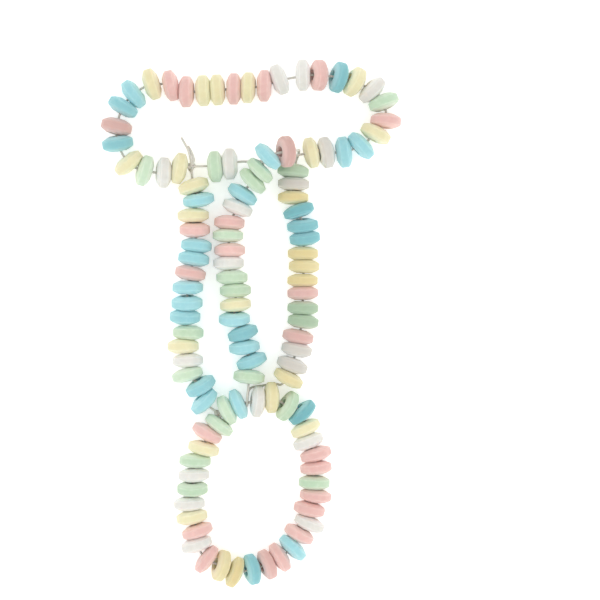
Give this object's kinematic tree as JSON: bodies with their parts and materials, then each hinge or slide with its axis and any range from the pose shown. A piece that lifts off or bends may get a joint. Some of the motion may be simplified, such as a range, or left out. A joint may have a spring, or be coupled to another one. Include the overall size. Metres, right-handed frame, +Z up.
{
  "type": "candy handcuffs",
  "caption": "Toy handcuffs of pastel pressed-sugar ring beads on elastic: two round cuffs joined by a side strand and a looped chain strand, lying flat.",
  "frame": {"origin": "on the surface it lies on, under the middle of the whole object's bounding box", "axes": "+Z up from the surface it lies on, +Y from the lower cuff to the upper cuff, +X to the right seen from above"},
  "size_m": [0.0969, 0.1704, 0.0183],
  "materials": {
    "candy_blue": "matt, chalky pressed sugar",
    "candy_green": "matt, chalky pressed sugar",
    "candy_pink": "matt, chalky pressed sugar",
    "candy_white": "matt, chalky pressed sugar",
    "candy_yellow": "matt, chalky pressed sugar",
    "elastic": "thin whitish elastic thread"
  },
  "bodies": {
    "root": {"upper_cuff_beads_01": "candy_yellow", "upper_cuff_beads_02": "candy_green", "upper_cuff_beads_03": "candy_blue", "upper_cuff_beads_04": "candy_blue", "upper_cuff_beads_05": "candy_yellow", "upper_cuff_beads_06": "candy_pink", "upper_cuff_beads_07": "candy_yellow", "upper_cuff_beads_08": "candy_pink", "upper_cuff_beads_09": "candy_pink", "upper_cuff_beads_10": "candy_white", "upper_cuff_beads_11": "candy_blue", "upper_cuff_beads_12": "candy_white", "upper_cuff_beads_13": "candy_pink", "upper_cuff_beads_14": "candy_blue", "upper_cuff_beads_15": "candy_white", "upper_cuff_beads_16": "candy_white", "side_strand_beads_01": "candy_yellow", "side_strand_beads_02": "candy_yellow", "side_strand_beads_03": "candy_blue", "side_strand_beads_04": "candy_pink", "side_strand_beads_05": "candy_blue", "side_strand_beads_06": "candy_green", "side_strand_beads_07": "candy_white", "side_strand_beads_08": "candy_blue", "chain_beads_01": "candy_pink", "chain_beads_02": "candy_green", "chain_beads_03": "candy_blue", "chain_beads_04": "candy_pink", "chain_beads_05": "candy_pink", "chain_beads_06": "candy_green", "chain_beads_07": "candy_yellow", "chain_beads_08": "candy_blue", "chain_beads_09": "candy_blue", "chain_beads_10": "candy_yellow", "chain_beads_11": "candy_white", "chain_beads_12": "candy_green", "chain_beads_13": "candy_pink", "chain_beads_14": "candy_yellow", "chain_beads_15": "candy_blue", "chain_beads_16": "candy_blue", "chain_beads_17": "candy_white", "lower_cuff_beads_01": "candy_green", "lower_cuff_beads_02": "candy_yellow", "lower_cuff_beads_03": "candy_white", "lower_cuff_beads_04": "candy_white", "lower_cuff_beads_05": "candy_pink", "lower_cuff_beads_06": "candy_pink", "lower_cuff_beads_07": "candy_yellow", "lower_cuff_beads_08": "candy_pink", "lower_cuff_beads_09": "candy_blue", "lower_cuff_beads_10": "candy_white", "lower_cuff_beads_11": "candy_pink", "lower_cuff_beads_12": "candy_pink", "lower_cuff_beads_13": "candy_white", "lower_cuff_beads_14": "candy_blue", "lower_cuff_beads_15": "candy_yellow", "lower_cuff_beads_16": "candy_blue", "cuff_elastic": "elastic", "chain_elastic": "elastic"}
  },
  "joints": []
}
